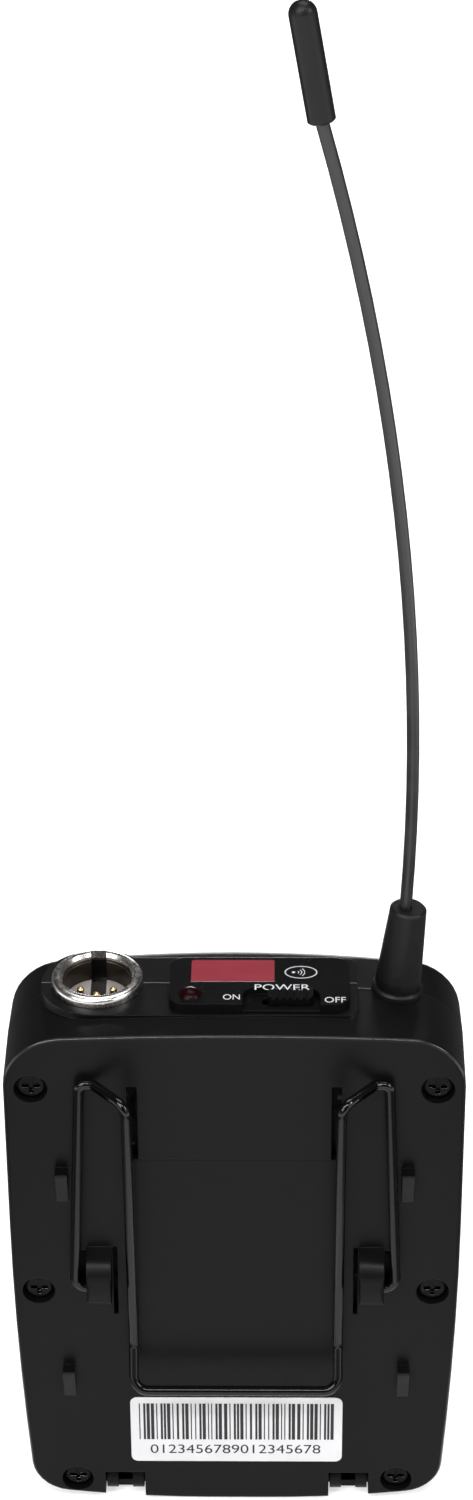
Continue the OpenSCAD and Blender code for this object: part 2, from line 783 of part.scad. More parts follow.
module control_plate() {
    ledge = 0.6;
    lens_t = 0.8;
    low = plate_z - plate_t;
    color([0.05, 0.05, 0.06]) difference() {
        translate([0, 0, low]) linear_extrude(plate_t)
            polygon(rounded(-plate_left, plate_right, -plate_near, plate_far, plate_r));
        block(window_x0, window_x1, window_y0, window_y1, plate_z - lens_t, plate_z + 1);
        block(window_x0 + ledge, window_x1 - ledge, window_y0 + ledge, window_y1 - ledge, low - 1, plate_z);
        translate([led_at[0], led_at[1], low - 1]) cylinder(r = led_r + fit, h = plate_t + 2);
        translate([0, 0, dish_z]) linear_extrude(dish_deep + 1)
            polygon(rounded(dish_x0, dish_x1, -plate_near - 3, dish_y1, 1.9));
        stem_slot(low - 1, plate_z);
    }
}

// The slot that the switch's stem runs in, with the same room in plate and switch body
module stem_slot(z0, z1) {
    room = 0.2;
    block(knob_x - switch_travel - stem_l / 2 - room, knob_x + stem_l / 2 + room,
          knob_y - stem_w / 2 - room, knob_y + stem_w / 2 + room, z0, z1);
}

module display_window() {
    lens_t = 0.7;
    color([0.55, 0.12, 0.16]) translate([0, 0, plate_z - lens_t - fit]) linear_extrude(lens_t)
        polygon(rounded(window_x0 + fit, window_x1 - fit, window_y0 + fit, window_y1 - fit, 0.3));
}

module display_module() {
    frame_w = 0.5;
    y1 = hatch[3] - seat;
    color([0.25, 0.28, 0.25]) difference() {
        block(window_x0 + 0.8, window_x1 - 0.8, window_y0 + 0.3, y1, board_top_z, pad_z);
        block(window_x0 + 0.8 + frame_w, window_x1 - 0.8 - frame_w, window_y0 + 0.3 + frame_w, y1 - frame_w,
              pad_z - 0.4, pad_z + 1);
    }
}

module status_led() {
    leg_r = 0.25;
    leg_gap = 0.64;
    flange = 0.15;
    dome_h = 0.8;
    dome_r = (led_r * led_r + dome_h * dome_h) / (2 * dome_h);
    color([0.45, 0.03, 0.05]) translate([led_at[0], led_at[1], 0]) {
        rotate_extrude() polygon(concat(
            [[0, pad_z - 1.6], [led_r + flange, pad_z - 1.6], [led_r + flange, pad_z - fit],
             [led_r, pad_z - fit]],
            [for (k = [0:6]) let (a = asin(led_r / dome_r) * (1 - k / 6))
                [dome_r * sin(a), plate_z + dome_h - dome_r * (1 - cos(a))]]
        ));
        for (x = [-leg_gap, leg_gap])
            translate([x, 0, board_top_z]) cylinder(r = leg_r, h = pad_z - 1.6 - board_top_z + eps);
    }
}

module switch_knob() {
    ridges = 5;
    ridge_gap = 0.5;
    ridge_deep = 0.35;
    top_z = plate_z + 0.3;
    pitch = (knob_l - 1.6) / ridges;
    color([0.05, 0.05, 0.06]) {
        difference() {
            translate([0, 0, dish_z + 0.1]) linear_extrude(top_z - dish_z - 0.1)
                polygon(rounded(knob_x - knob_l / 2, knob_x + knob_l / 2, knob_y - knob_w / 2,
                                knob_y + knob_w / 2, 0.6));
            for (k = [0:ridges]) let (x = knob_x + (k - ridges / 2) * pitch)
                block(x - ridge_gap / 2, x + ridge_gap / 2, knob_y - knob_w, knob_y + knob_w,
                      top_z - ridge_deep, top_z + 1);
        }
        block(knob_x - stem_l / 2, knob_x + stem_l / 2, knob_y - stem_w / 2, knob_y + stem_w / 2,
              board_top_z + 1.3, dish_z + 0.1 + eps);
    }
}

module switch_body() {
    side = 1.2;
    body_t = 2.5;
    color([0.3, 0.3, 0.32]) difference() {
        block(knob_x - switch_travel - stem_l / 2 - side, knob_x + stem_l / 2 + side,
              knob_y - 2, knob_y + 1.9, board_top_z, board_top_z + body_t);
        stem_slot(board_top_z + 1.1, board_top_z + body_t + 1);
    }
}

module top_board() {
    color([0.03, 0.12, 0.07])
        block(board_x0, plate_right, board_y1, 6.5, board_top_z - board_t, board_top_z);
}

// ---------- microphone socket ----------

module socket_shell() {
    round_r = 0.75;
    lip = 0.4;
    mouth_z = rim_z - lip - mouth_deep;      // land at the mouth, clear of the pins
    low = rim_z - barrel_len;
    rim_r = rim_d / 2;
    color([0.75, 0.75, 0.74]) translate([sock_c[0], sock_c[1], 0]) difference() {
        rotate_extrude($fn = 96) polygon(concat(
            [[socket_bore_r, low], [barrel_r, low], [barrel_r, pad_z + fit], [rim_r, pad_z + fit]],
            arc([rim_r - round_r, rim_z - round_r], round_r, 0, 90, 6),
            [[rim_r - round_r, rim_z], [mouth_r + lip, rim_z], [mouth_r, rim_z - lip], [mouth_r, mouth_z],
             [socket_bore_r, mouth_z]]
        ));
        // keyway for the plug's rib, on the far side
        block(-key_w / 2, key_w / 2, socket_bore_r - 1, rim_r - 0.6, insert_z - 1, rim_z + 1);
    }
}

module at_pins() {
    for (a = pin_turns) translate([sock_c[0] + pin_circle * cos(a), sock_c[1] + pin_circle * sin(a), 0]) children();
}

module socket_insert() {
    color([0.55, 0.55, 0.53]) difference() {
        translate([sock_c[0], sock_c[1], insert_z - insert_t]) cylinder(r = socket_bore_r - fit, h = insert_t);
        at_pins() translate([0, 0, insert_z - insert_t - 1]) cylinder(r = pin_d / 2 + fit, h = insert_t + 2);
        // channel that carries the keyway on across the insert
        block(sock_c[0] - key_w / 2, sock_c[0] + key_w / 2, sock_c[1] + pin_circle + 1, sock_c[1] + socket_bore_r,
              insert_z - 1, insert_z + 1);
    }
}

module socket_pins() {
    tail = 2.4;
    r = pin_d / 2;
    low = insert_z - insert_t - tail;
    high = insert_z + pin_h;
    color([0.8, 0.62, 0.25]) at_pins() rotate_extrude($fn = 24) polygon(concat(
        [[0, low], [r, low]],
        arc([0, high - r], r, 0, 90, 5),
        [[0, high]]
    ));
}

module socket_nut() {
    color([0.7, 0.7, 0.7]) translate([sock_c[0], sock_c[1], nut_top_z - nut_t]) difference() {
        cylinder(r = nut_r, h = nut_t, $fn = 6);
        translate([0, 0, -1]) cylinder(r = barrel_r + fit, h = nut_t + 2);
    }
}

// ---------- antenna ----------

// Stretch of the whip's arc between two angles, as a round bar of radius r
module whip_arc(r, a0, a1) {
    translate([whip_c[0], parting_y, whip_c[1]]) rotate([90, 0, 0]) rotate([0, 0, a0])
        rotate_extrude(angle = a1 - a0, $fn = 256) translate([whip_bow_r, 0]) circle(r = r, $fn = 24);
}

module antenna_boot() {
    collar_h = 1;
    collar_r = boot_r + 0.35;
    cup = 1;
    color([0.06, 0.06, 0.07]) difference() {
        translate([antenna_x, parting_y, boot_z]) rotate([0, boot_lean, 0]) rotate_extrude()
            polygon([[0, 0], [collar_r, 0], [collar_r, collar_h - 0.3], [collar_r - 0.3, collar_h],
                     [boot_r - 0.2, collar_h], [boot_r, collar_h + 0.5],
                     [boot_top_r, boot_len - 0.3], [boot_top_r - 0.3, boot_len], [0, boot_len]]);
        translate([antenna_x, parting_y, boot_z - 2]) cylinder(r = terminal_r + fit, h = cup + 2);
        whip_arc(boot_bore_r, whip_start_a - 0.2, whip_start_a + 3);
    }
}

// Places children at the whip's end, upright along the cap
module at_tip() {
    foot = whip_c + whip_bow_r * [cos(whip_end_a), sin(whip_end_a)];
    translate([foot[0], parting_y, foot[1]]) rotate([0, -tip_lean, 0]) children();
}

module antenna_whip() {
    core_r = whip_d / 2 - 0.15;              // inside the cap the coat is stripped
    color([0.1, 0.1, 0.11]) {
        whip_arc(whip_d / 2, whip_start_a, whip_end_a);
        at_tip() translate([0, 0, -1]) cylinder(r = core_r, h = tip_bore_deep + 1);
    }
}

module antenna_tip() {
    r = tip_d / 2;
    color([0.06, 0.06, 0.07]) at_tip() rotate_extrude() polygon(concat(
        [[boot_bore_r, 0], [r - 0.2, 0], [r, 0.2]],
        arc([0, tip_len - r], r, 0, 90, 8),
        [[0, tip_len], [0, tip_bore_deep + fit], [boot_bore_r, tip_bore_deep + fit]]
    ));
}

module antenna_terminal() {
    strap_z = body_h - 12;
    strap_w = 3;
    color([0.8, 0.65, 0.3]) {
        translate([antenna_x, parting_y, strap_z]) cylinder(r = terminal_r, h = boot_z + 0.9 - strap_z);
        block(antenna_x - strap_w, antenna_x, board_y1, parting_y, strap_z, strap_z + 0.6);
    }
}

// ---------- inside ----------

module main_board() {
    color([0.05, 0.3, 0.15]) difference() {
        block(-board_half, board_half, board_y0, board_y1, board_z0, board_z1);
        for (h = board_holes) rod_y(h[0], h[1], 0.8, board_y0 - 1, board_y1 + 1);
    }
}

module board_screws() {
    screw_r = 0.6;
    cap_r = 1.3;
    cap_t = 0.7;
    color([0.7, 0.7, 0.7]) for (h = board_holes) {
        rod_y(h[0], h[1], cap_r, board_y1, board_y1 + cap_t);
        rod_y(h[0], h[1], screw_r, inner_back - 0.4, board_y1 + eps);
    }
}

// Flat package on the main board: x, z of its middle below the board's top, width, height, thickness
module chip(x, down, w, h, t) {
    block(x - w / 2, x + w / 2, board_y1, board_y1 + t, board_z1 - down - h / 2, board_z1 - down + h / 2);
}

module board_chips() {
    flats = [[chip_x, 9.5, chip_w, chip_w], [chip_x + 8.7, 10.5, 5.5, 4], [chip_x + 8, 5.2, 4, 2.5]];
    chip_t = 1.1;
    can_r = 1.1;
    color([0.08, 0.08, 0.09]) {
        for (f = flats) chip(f[0], f[1], f[2], f[3], chip_t);
        for (k = [0:3]) chip(chip_x - 2.9 + 2 * k, 4, 1.2, 1, 0.7);
        // capacitor at the far end of the top board
        translate([plate_right - can_r - 0.1, parting_y, board_top_z]) cylinder(r = can_r, h = 1.2);
    }
}

module rf_shield() {
    can_t = 0.3;
    x0 = board_holes[0][0] + 2.4;
    x1 = chip_x - chip_w / 2 - 2;
    y1 = board_y1 + 2.2;
    z0 = board_z1 - 13.5;
    z1 = board_z1 - 3;
    color([0.75, 0.75, 0.76]) difference() {
        block(x0, x1, board_y1, y1, z0, z1);
        block(x0 + can_t, x1 - can_t, board_y1 - 1, y1 - can_t, z0 + can_t, z1 - can_t);
    }
}

module battery_tray() {
    channel_r = cell_d / 2 + cell_gap;
    side_in = cell_x + channel_r + 1;
    color([0.1, 0.1, 0.11]) difference() {
        block(-tray_half, tray_half, tray_y0, tray_y1, tray_z0, tray_z1);
        pair() {
            translate([cell_x, cell_y, tray_z0 + end_t]) cylinder(r = channel_r, h = tray_z1 - tray_z0 - 2 * end_t);
            block(side_in, tray_half - 1, tray_y0 + tray_wall, tray_y1 + 1, tray_z0 + end_t + 2, tray_z1 - end_t);
            block(tray_half - 2.4, tray_half + 1, tray_y0 - 1, tray_y1 + 1, tray_z0 - 1, tray_z0 + 2);
        }
    }
}

module battery_contacts() {
    plate_half = 4.6;
    color([0.8, 0.8, 0.78]) for (z = [tray_z0 + end_t, tray_z1 - end_t - contact_t]) pair()
        block(cell_x - plate_half, cell_x + plate_half, cell_y - plate_half, tray_y1, z, z + contact_t);
}

// Conical coil spring that stands on z = 0 and is h high
module coil(h) {
    coil_wire = 0.25;
    turns = 2.5;
    steps = 14;
    wide = 3.4;
    narrow = 1.8;
    n = turns * steps;
    tube([for (i = [0:n]) let (s = i / n, a = 360 * turns * s, r = wide + (narrow - wide) * s)
        [r * cos(a), r * sin(a), coil_wire * 1.05 + (h - 2.1 * coil_wire) * s]], coil_wire, 6, [0, 0, 1]);
}

module battery_springs() {
    color([0.8, 0.8, 0.78]) {
        translate([-cell_x, cell_y, tray_z0 + end_t + contact_t]) coil(spring_len);
        translate([cell_x, cell_y, tray_z1 - end_t - contact_t]) mirror([0, 0, 1]) coil(spring_len);
    }
}

// One cell with its button up, standing on z = 0
module cell() {
    button_r = 2.7;
    button_h = 1;
    shoulder = 0.6;
    r = cell_d / 2;
    rotate_extrude() polygon([[0, 0], [r - 0.4, 0], [r, 0.4], [r, cell_len - button_h - shoulder],
        [r - shoulder, cell_len - button_h], [button_r, cell_len - button_h],
        [button_r, cell_len - 0.3], [button_r - 0.3, cell_len], [0, cell_len]]);
}

module battery_cells() {
    color([0.35, 0.36, 0.4]) {
        translate([-cell_x, cell_y, tray_z0 + end_t + contact_t + spring_len]) cell();
        translate([cell_x, cell_y, tray_z1 - end_t - contact_t - spring_len]) mirror([0, 0, 1]) cell();
    }
}

rear_shell();
front_shell();
battery_door();
case_screws();
rear_label();
belt_clip_arms();
belt_clip_loop();
control_plate();
display_window();
display_module();
status_led();
switch_knob();
switch_body();
top_board();
socket_shell();
socket_insert();
socket_pins();
socket_nut();
antenna_boot();
antenna_whip();
antenna_tip();
antenna_terminal();
main_board();
board_screws();
board_chips();
rf_shield();
battery_tray();
battery_contacts();
battery_springs();
battery_cells();
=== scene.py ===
"""Wireless bodypack transmitter: camera, finishes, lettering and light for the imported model."""
import json
import math

import bmesh
import bpy
import numpy as np
from mathutils import Matrix, Vector
from mathutils.bvhtree import BVHTree


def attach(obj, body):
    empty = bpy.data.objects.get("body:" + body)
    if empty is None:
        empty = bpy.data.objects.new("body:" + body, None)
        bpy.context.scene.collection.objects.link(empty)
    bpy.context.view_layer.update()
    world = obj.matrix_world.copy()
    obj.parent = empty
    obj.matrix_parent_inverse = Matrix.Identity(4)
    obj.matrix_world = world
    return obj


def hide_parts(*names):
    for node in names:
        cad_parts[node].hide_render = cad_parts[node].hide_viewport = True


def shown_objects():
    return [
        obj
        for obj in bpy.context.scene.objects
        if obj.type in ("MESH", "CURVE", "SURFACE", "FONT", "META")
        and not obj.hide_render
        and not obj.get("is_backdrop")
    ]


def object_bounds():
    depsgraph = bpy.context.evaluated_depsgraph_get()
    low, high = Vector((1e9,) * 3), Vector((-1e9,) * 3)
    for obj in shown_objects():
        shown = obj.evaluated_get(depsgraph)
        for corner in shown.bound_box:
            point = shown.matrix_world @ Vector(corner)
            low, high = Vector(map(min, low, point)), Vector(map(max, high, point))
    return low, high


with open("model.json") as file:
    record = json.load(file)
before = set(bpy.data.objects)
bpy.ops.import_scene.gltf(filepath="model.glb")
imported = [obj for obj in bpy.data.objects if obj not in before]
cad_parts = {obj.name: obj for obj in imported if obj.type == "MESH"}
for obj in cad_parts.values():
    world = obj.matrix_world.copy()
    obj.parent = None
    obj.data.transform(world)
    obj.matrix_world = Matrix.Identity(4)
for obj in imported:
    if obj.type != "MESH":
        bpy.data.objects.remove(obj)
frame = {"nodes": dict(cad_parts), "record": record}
cad_box = [list(c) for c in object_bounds()]
MM = 0.001
case, loop = "case", "belt_clip_loop"

# ---------------------------------------------------------------- camera

W, H = 473, 1500
L = max(W, H)
LENS, SENSOR = 80.0, 36.0
EYE = np.array([5.43, -366.77, 340.01]) * MM
YAW, PITCH, ROLL = (math.radians(a) for a in (0.78, 30.99, -0.347))

ahead = np.array([-math.sin(YAW) * math.cos(PITCH), math.cos(YAW) * math.cos(PITCH), -math.sin(PITCH)])
level = np.array([math.cos(YAW), math.sin(YAW), 0.0])
upward = np.cross(level, ahead)
across = math.cos(ROLL) * level + math.sin(ROLL) * upward
upright = -math.sin(ROLL) * level + math.cos(ROLL) * upward

cam_data = bpy.data.cameras.new("camera")
cam_data.lens, cam_data.sensor_width, cam_data.sensor_fit = LENS, SENSOR, "AUTO"
cam_data.clip_start, cam_data.clip_end = 0.01, 20.0
cam = bpy.data.objects.new("camera", cam_data)
bpy.context.scene.collection.objects.link(cam)
turn = Matrix(np.column_stack([across, upright, -ahead]).tolist()).to_4x4()
cam.matrix_world = Matrix.Translation(Vector(EYE)) @ turn
bpy.context.scene.camera = cam

# Image points, in pixels of the 473 by 1500 photograph
IMAGE = {
    "left": 4.5, "right": 467.0, "top": 1.0, "bottom": 1499.5,
    "socket_shell": (96.2, 981.5), "display_window": (232.6, 970.6), "status_led": (189.7, 992.0),
    "antenna_boot": (397.5, 949.0), "antenna_tip": (314.0, 63.0),
    "rear_label": (236.5, 1429.3), "label_bars": (236.0, 1421.6), "label_digits": (235.5, 1448.9),
    "word_on": (231.4, 997.0), "word_off": (335.3, 999.8), "word_power": (282.4, 987.2),
    "infrared_sign": (301.0, 972.3), "switch_knob": (289.0, 997.5),
}


def shot(points):
    """Pixels at which points in the row frame show: the offsets from the eye along the camera's
    two side axes, each over the distance ahead, times the lens over the sensor."""
    d = np.asarray(points, float) - EYE
    depth = d @ ahead
    scale = L * LENS / SENSOR
    return np.stack([W / 2 + scale * (d @ across) / depth, H / 2 - scale * (d @ upright) / depth], -1)


def place(x, y, tree):
    """Place and normal where the ray of pixel (x, y) meets the tree; on a miss, of the place nearest the ray
    between 0.3 and 0.7 m from the eye."""
    nearest, farthest = 0.3, 0.7
    ray = (x - W / 2 + cam_data.shift_x * L) * across + (H / 2 - y + cam_data.shift_y * L) * upright \
        + L * LENS / SENSOR * ahead
    ray /= np.linalg.norm(ray)
    spot, normal, _, _ = tree.ray_cast(Vector(EYE), Vector(ray))
    if spot is None:
        steps = np.linspace(nearest, farthest, 400)
        found = [tree.find_nearest(Vector(EYE + ray * s)) for s in steps]
        spot, normal, _, _ = min(found, key=lambda f: f[3])
    return np.array(spot), np.array(normal)


# ---------------------------------------------------------------- shader expressions


class Wire:
    """A socket of a material, on which Python's operators add Math nodes."""

    def __init__(self, paint, socket):
        self.paint, self.socket = paint, socket

    def math(self, operation, *values):
        """A Math node of the operation on values or links."""
        return self.paint.node("ShaderNodeMath", {"operation": operation}, values)

    def at_most(self, top):
        """The value, or the top where it is higher."""
        return self.math("MINIMUM", self, top)

    def sine(self):
        """The sine of the value."""
        return self.math("SINE", self)

    def __add__(self, o): return self.math("ADD", self, o)
    def __radd__(self, o): return self.math("ADD", o, self)
    def __sub__(self, o): return self.math("SUBTRACT", self, o)
    def __rsub__(self, o): return self.math("SUBTRACT", o, self)
    def __mul__(self, o): return self.math("MULTIPLY", self, o)
    def __rmul__(self, o): return self.math("MULTIPLY", o, self)
    def __pow__(self, o): return self.math("POWER", self, o)
    def __gt__(self, o): return self.math("GREATER_THAN", self, o)
    def __lt__(self, o): return self.math("LESS_THAN", self, o)


class Tree:
    """A node tree with short ways to build expressions in it."""

    def __init__(self, tree):
        self.tree = tree

    def node(self, kind, settings=None, inputs=(), out=0):
        """A node of any kind: its settings first, then the values or links of its sockets."""
        n = self.tree.nodes.new(kind)
        for key, value in (settings or {}).items():
            setattr(n, key, value)
        for key, value in (inputs.items() if isinstance(inputs, dict) else enumerate(inputs)):
            self.feed(n.inputs[key], value)
        return Wire(self, n.outputs[out])

    def feed(self, socket, value):
        """Links a socket to a Wire, or sets it to a value."""
        if isinstance(value, Wire):
            self.tree.links.new(value.socket, socket)
        elif isinstance(value, (tuple, list)) and len(value) == 3 and socket.type == "RGBA":
            socket.default_value = (*value, 1)
        else:
            socket.default_value = value

    def at(self, stretch=(1, 1, 1)):
        """Object coordinates in millimetres, stretched."""
        coords = self.node("ShaderNodeTexCoord", out="Object")
        return self.node("ShaderNodeMapping", {}, {"Vector": coords, "Scale": tuple(s / MM for s in stretch)})

    def axis(self, name):
        """One Object coordinate in millimetres."""
        return self.node("ShaderNodeSeparateXYZ", {}, [self.at()], "XYZ".index(name))

    def noise(self, size, detail=3.0, stretch=(1, 1, 1)):
        """Noise from 0 to 1 with lumps of a size in millimetres."""
        return self.node("ShaderNodeTexNoise", {},
                         {"Vector": self.at(stretch), "Scale": 1 / size, "Detail": detail})

    def cells(self, size):
        """Distance from the middle of irregular cells of a size in millimetres."""
        return self.node("ShaderNodeTexVoronoi", {}, {"Vector": self.at(), "Scale": 1 / size}, "Distance")

    def band(self, value, low, high):
        """0 below low, 1 above high, smooth between."""
        return self.node("ShaderNodeMapRange", {"interpolation_type": "SMOOTHSTEP"},
                         [value, low, high, 0.0, 1.0])

    def mix(self, share, a, b):
        """Colour a with a share of colour b."""
        return self.node("ShaderNodeMix", {"data_type": "RGBA"}, {0: share, 6: a, 7: b}, 2)

    def round_edges(self, radius):
        """Normal of the surface with its edges rounded off, radius in millimetres."""
        return self.node("ShaderNodeBevel", {"samples": 6}, {"Radius": radius * MM})

    def worn(self, rounded):
        """How far the rounded normal leans from the true one: 0 on flats, more along edges."""
        true = self.node("ShaderNodeNewGeometry", out="True Normal")
        dot = self.node("ShaderNodeVectorMath", {"operation": "DOT_PRODUCT"}, [rounded, true], "Value")
        return self.band(1 - dot, 0.02, 0.35)

    def bump(self, height, depth, base=None):
        """Bump of a height from 0 to 1, depth in millimetres, on a base normal."""
        inputs = {"Height": height, "Distance": depth * MM}
        if base is not None:
            inputs["Normal"] = base
        return self.node("ShaderNodeBump", {}, inputs)


class Paint(Tree):
    """A material round one Principled shader."""

    def __init__(self, name, **fixed):
        self.material = bpy.data.materials.new(name)
        self.material.use_nodes = True
        super().__init__(self.material.node_tree)
        self.tree.nodes.clear()
        self.shader = self.tree.nodes.new("ShaderNodeBsdfPrincipled")
        out = self.tree.nodes.new("ShaderNodeOutputMaterial")
        self.tree.links.new(self.shader.outputs[0], out.inputs["Surface"])
        self.set(**fixed)

    def set(self, **values):
        """Feeds the shader's sockets by name."""
        for key, value in values.items():
            self.feed(self.shader.inputs[key.replace("_", " ")], value)


def shade(colour, times):
    """The colour with each part multiplied."""
    return tuple(times * c for c in colour)


def grey(level):
    """The same level of red, green and blue."""
    return (level, level, level)


def moulded(name, colour, rough=0.34, grain=0.10, edge=0.18, specular=0.12, seam=None):
    """Moulded black plastic: a fine spark-eroded grain, slow changes of gloss, a little dust, and edges rubbed
    shinier. A seam, given by its height, half its width and its reach either side, is a fine level groove. With
    it the rim where the back rolls over to the sides gets a glossy coat, less roughness and a painted highlight
    that lightens its colour, but not what stands out beyond rim_y."""
    grain_depth, worn_to, dust_colour = 0.006, 2.2, (0.16, 0.16, 0.17)
    p = Paint(name, Specular_IOR_Level=specular)
    rounded = p.round_edges(edge)
    wear = p.worn(rounded) * p.band(p.noise(3.5), 0.35, 0.7)
    fine = p.noise(grain, 2.0)
    slow = p.noise(14.0, 2.0)
    dust = p.band(p.noise(0.35, 4.0), 0.70, 0.80)
    base = p.mix(slow, shade(colour, 0.85), shade(colour, 1.15))
    base = p.mix(wear, base, shade(colour, worn_to))
    base = p.mix(dust * 0.06, base, dust_colour)
    scuffs = p.band(p.noise(1.2, 4.0, (1, 1, 0.16)), 0.62, 0.75)
    rough = rough - 0.05 + 0.08 * slow + 0.04 * fine - 0.08 * wear + 0.06 * scuffs
    if seam:
        height, half, reach = seam
        groove_depth, rim_y, rim_highlight_colour = 6.0, -10.53, (0.03, 0.03, 0.031)
        across, up = p.axis("X"), p.axis("Z") - height
        fine = fine - groove_depth * (across * across < reach * reach) * (up * up < half * half)
        facing = p.node("ShaderNodeNewGeometry", out="Normal")
        back = -1 * p.node("ShaderNodeSeparateXYZ", {}, [facing], 1)
        rim = p.band(back, 0.25, 0.5) * (1 - p.band(back, 0.88, 0.98)) * (p.axis("Y") > rim_y)
        # Painted highlight: the rim's colour is lightened towards a pale grey, on top of its real coat and
        # lower roughness.
        base = p.mix(rim * 0.4, base, rim_highlight_colour)
        rough = rough - 0.14 * rim
        p.set(Coat_Weight=0.5 * rim, Coat_Roughness=0.15)
    p.set(Base_Color=base, Roughness=rough, Normal=p.bump(fine, grain_depth, rounded))
    return p.material


def metal(name, colour, rough=0.2, edge=0.08, mark_size=0.3, tarnish=0.2, rubbed=None):
    """Plated or bare metal: fine marks, patches of dulled gloss, and edges rubbed to another colour."""
    p = Paint(name, Metallic=1.0)
    rounded = p.round_edges(edge)
    marks = p.noise(mark_size)
    dull = p.band(p.noise(1.6), 0.4, 0.75)
    base = p.mix(dull * tarnish, colour, shade(colour, 0.55))
    if rubbed:
        base = p.mix(p.worn(rounded), base, rubbed)
    p.set(Base_Color=base, Roughness=rough + 0.10 * dull + 0.08 * marks,
          Normal=p.bump(marks, 0.004, rounded))
    return p.material


def turned(name, colour, centre, bore, mouth):
    """Turned and nickel-plated metal: rings of tool lines round an upright axis at centre, the sine of the
    radius and the height, and a painted shade, dark brown, on the wall inside the bore below the mouth, all in
    millimetres."""
    rough, bore_shade_colour, ring_depth = 0.24, (0.075, 0.062, 0.050), 0.0004
    p = Paint(name, Metallic=1.0)
    rounded = p.round_edges(0.1)
    x, y = p.axis("X") - centre[0], p.axis("Y") - centre[1]
    radius = (x * x + y * y) ** 0.5
    rings = (radius * 40 + p.axis("Z") * 34 + p.noise(2.0) * 3).sine()
    dull = p.band(p.noise(1.1), 0.42, 0.75)
    base = p.mix(dull * 0.3, colour, shade(colour, 0.6))
    inside = (radius < bore) * (p.axis("Z") < mouth)
    # Painted shade: the wall inside the bore below the mouth is darkened to a brown for the shade and dark
    # reflections in it.
    base = p.mix(inside, base, bore_shade_colour)
    p.set(Base_Color=base, Roughness=rough + 0.10 * dull + 0.03 * rings + 0.12 * inside,
          Normal=p.bump(rings, ring_depth, rounded))
    return p.material


def insulator(name, centre, key_half):
    """Pale nylon disc that carries the contacts, with the key channel that runs in from its far side and ends
    at
    key_end from the centre: a groove by bump, coloured near black as painted shade."""
    key_end, key_shade_colour = -1.7, (0.006, 0.004, 0.003)
    p = Paint(name, Specular_IOR_Level=0.3)
    across, along = p.axis("X") - centre[0], p.axis("Y") - centre[1]
    key = (across * across < key_half * key_half) * (along > key_end)
    mottle = p.noise(0.5)
    pale = p.mix(mottle, (0.19, 0.175, 0.165), (0.27, 0.25, 0.235))
    # Painted shade: the key channel is coloured near black for the shade in the groove, which the bump also
    # sinks.
    p.set(Base_Color=p.mix(key, pale, key_shade_colour), Roughness=0.42 + 0.1 * mottle,
          Normal=p.bump(p.noise(0.15) * 0.3 - key * 0.7, 0.05, p.round_edges(0.05)))
    return p.material


def glossy_wire(name):
    """Spring wire with a glossy black coat: a slight orange peel and faint rubbed streaks."""
    p = Paint(name, Specular_IOR_Level=0.3)
    peel = p.noise(0.5, 2.0)
    rub = p.band(p.noise(1.4, 4.0, (1, 1, 0.3)), 0.58, 0.78)
    p.set(Base_Color=p.mix(rub * 0.3, (0.002, 0.002, 0.0023), (0.014, 0.014, 0.015)),
          Roughness=0.07 + 0.08 * rub + 0.04 * peel, Normal=p.bump(peel, 0.01))
    return p.material


def rubber(name, rough=0.42, rings=0.0):
    """Moulded rubber: fine grain, a dusty bloom, and faint mould rings, the sine of rings times the height."""
    colour = (0.0045, 0.0045, 0.0049)
    p = Paint(name, Specular_IOR_Level=0.2)
    rounded = p.round_edges(0.15)
    grain = p.noise(0.12)
    bloom = p.band(p.noise(2.2, 4.0), 0.45, 0.75)
    height = grain * 0.5 + (p.axis("Z") * rings).sine() * 0.25 if rings else grain
    p.set(Base_Color=p.mix(bloom * 0.35, colour, shade(colour, 2.2)),
          Roughness=rough + 0.1 * bloom, Normal=p.bump(height, 0.012, rounded))
    return p.material


def cable_coat(name):
    """Satin extruded coat of the whip: long faint draw lines and a few dull patches."""
    p = Paint(name, Specular_IOR_Level=0.5)
    lines = p.noise(0.25, 2.0, (1, 1, 0.05))
    dull = p.band(p.noise(5.0, 3.0), 0.4, 0.7)
    p.set(Base_Color=p.mix(dull, (0.007, 0.007, 0.0076), (0.011, 0.011, 0.012)),
          Roughness=0.28 + 0.08 * dull + 0.05 * lines, Normal=p.bump(lines, 0.006))
    return p.material


def foil_label(name):
    """Silver-grey printed foil under a matt film: fine brushed grain and soft unevenness."""
    p = Paint(name, Specular_IOR_Level=0.4)
    grain = p.noise(0.12, 3.0, (0.2, 1, 1))
    cloud = p.noise(4.0, 3.0)
    p.set(Base_Color=p.mix(cloud, (0.66, 0.65, 0.66), (0.78, 0.77, 0.78)),
          Roughness=0.34 + 0.12 * grain,
          Normal=p.bump(grain * 0.6 + p.noise(3.0) * 0.4, 0.006, p.round_edges(0.05)))
    return p.material


def ink(name, colour):
    """Printed ink with slightly uneven cover."""
    p = Paint(name, Specular_IOR_Level=0.3)
    cover = p.noise(0.12)
    thin = tuple(0.6 * c + 0.12 for c in colour)
    p.set(Base_Color=p.mix(p.band(cover, 0.55, 0.8) * 0.25, colour, thin),
          Roughness=0.45 + 0.1 * cover, Normal=p.bump(cover, 0.002))
    return p.material


def red_lens(name):
    """Clear red plastic over a pale display, seen as one muted crimson pane with faint streaks and dust."""
    p = Paint(name, Specular_IOR_Level=0.55, Coat_Weight=0.3, Coat_Roughness=0.05)
    rounded = p.round_edges(0.12)
    depth = p.noise(2.5, 3.0, (0.6, 1, 1))
    dust = p.band(p.noise(0.18, 3.0), 0.70, 0.78)
    base = p.mix(depth, (0.178, 0.0240, 0.0335), (0.213, 0.033, 0.0435))
    p.set(Base_Color=p.mix(dust * 0.2, base, (0.6, 0.4, 0.4)), Roughness=0.12 + 0.10 * dust + 0.04 * depth,
          Normal=p.bump(p.noise(1.8), 0.004, rounded))
    return p.material


